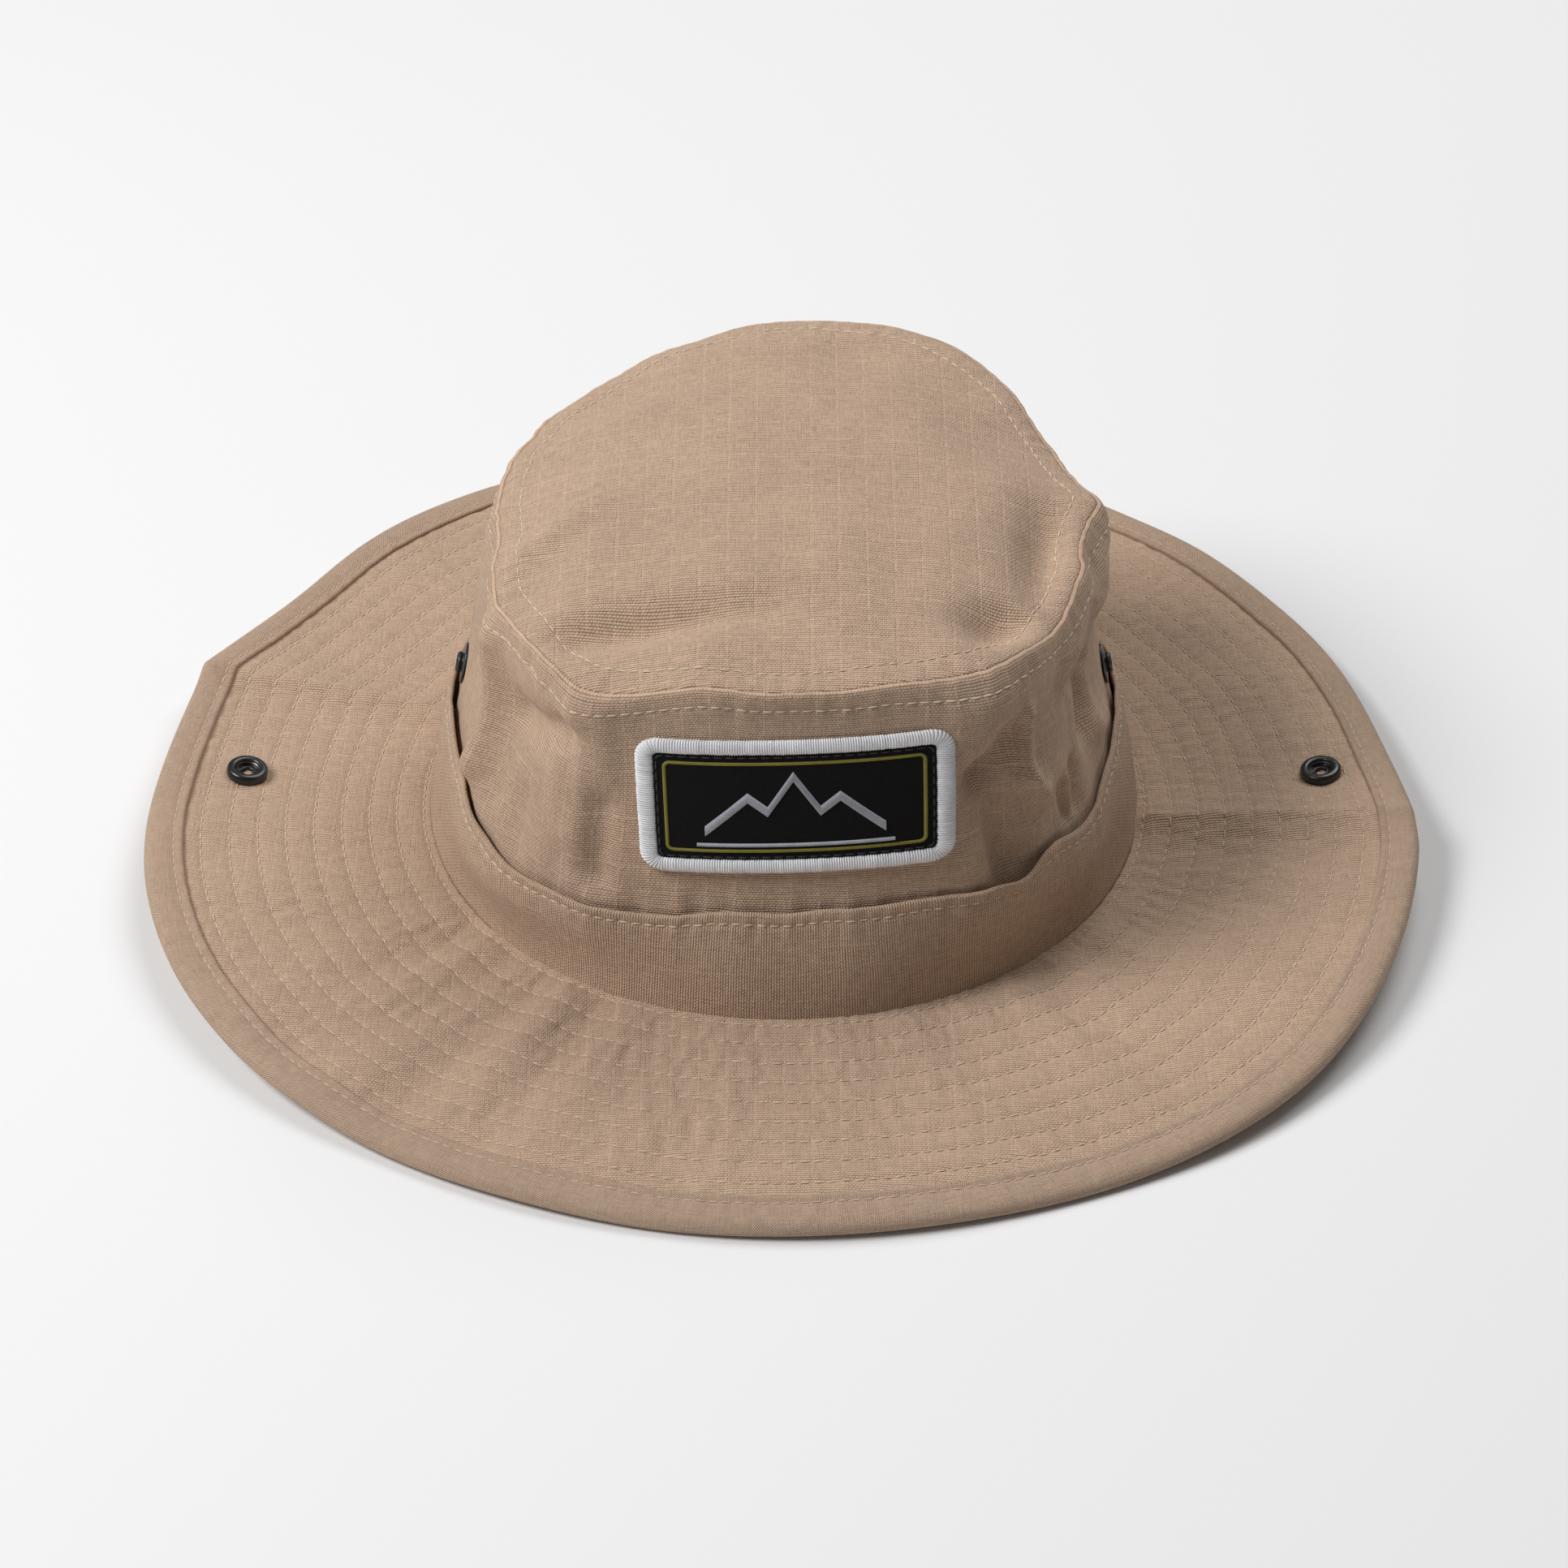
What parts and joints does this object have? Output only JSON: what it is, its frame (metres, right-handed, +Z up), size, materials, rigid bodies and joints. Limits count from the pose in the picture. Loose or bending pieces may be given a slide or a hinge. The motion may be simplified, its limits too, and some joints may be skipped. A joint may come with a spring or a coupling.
{
  "type": "boonie hat",
  "caption": "Wide-brimmed cloth sun hat with a soft flat-topped crown and brim sides that fold up and snap to the crown.",
  "frame": {"origin": "on the table under the middle of the brim, at the centre of the brim's outline", "axes": "+Z up, away from the table; the hat's front, with the patch, faces -Y; +X is to the right of someone facing the patch"},
  "size_m": [0.339, 0.342, 0.1062],
  "materials": {
    "crown_cloth": "tan ripstop cotton, matte",
    "brim_cloth": "tan ripstop cotton, matte",
    "under_cloth": "tan ripstop cotton, matte",
    "band_cloth": "tan ripstop cotton, folded double, matte",
    "binding_tape": "tan twill bias tape, matte",
    "interlining": "off-white woven stiffener, matte",
    "sweatband_cloth": "soft tan twill, matte",
    "seam_tape": "narrow tan tape, matte",
    "black_snap": "black enamelled brass, semi-gloss",
    "snap_spring": "drawn spring wire",
    "patch_border": "white merrowed thread",
    "patch_field": "black woven twill",
    "patch_inline": "olive woven thread",
    "patch_motif": "pale grey woven thread"
  },
  "bodies": {
    "crown": {"centre_brim_bottom_ply": "under_cloth", "centre_brim_interlining": "interlining", "centre_brim_top_ply": "brim_cloth", "front_edge_binding": "binding_tape", "back_edge_binding": "binding_tape", "crown_side_wall": "crown_cloth", "crown_top_panel": "crown_cloth", "top_seam_tape": "seam_tape", "hat_band": "band_cloth", "sweatband": "sweatband_cloth", "patch_border": "patch_border", "patch_field": "patch_field", "patch_inline": "patch_inline", "patch_motif": "patch_motif", "left_snap_stud": "black_snap", "left_stud_post": "black_snap", "right_snap_stud": "black_snap", "right_stud_post": "black_snap"},
    "left_brim": {"left_brim_bottom_ply": "under_cloth", "left_brim_interlining": "interlining", "left_brim_top_ply": "brim_cloth", "left_edge_binding": "binding_tape", "left_snap_socket": "black_snap", "left_socket_spring": "snap_spring", "left_snap_cap": "black_snap"},
    "right_brim": {"right_brim_bottom_ply": "under_cloth", "right_brim_interlining": "interlining", "right_brim_top_ply": "brim_cloth", "right_edge_binding": "binding_tape", "right_snap_socket": "black_snap", "right_socket_spring": "snap_spring", "right_snap_cap": "black_snap"}
  },
  "joints": [
    {"name": "right_brim_fold", "type": "hinge", "parent": "crown", "child": "right_brim", "pos_m": [0.098, 0, 0.0019], "axis": [0, -1, 0], "range_deg": [-8, 94.4], "stiffness_Nm_per_rad": 0.08, "springref_deg": 2.86},
    {"name": "left_brim_fold", "type": "hinge", "parent": "crown", "child": "left_brim", "pos_m": [-0.098, 0, 0.0019], "axis": [0, 1, 0], "range_deg": [-8, 94.4], "stiffness_Nm_per_rad": 0.08, "springref_deg": 2.86}
  ]
}
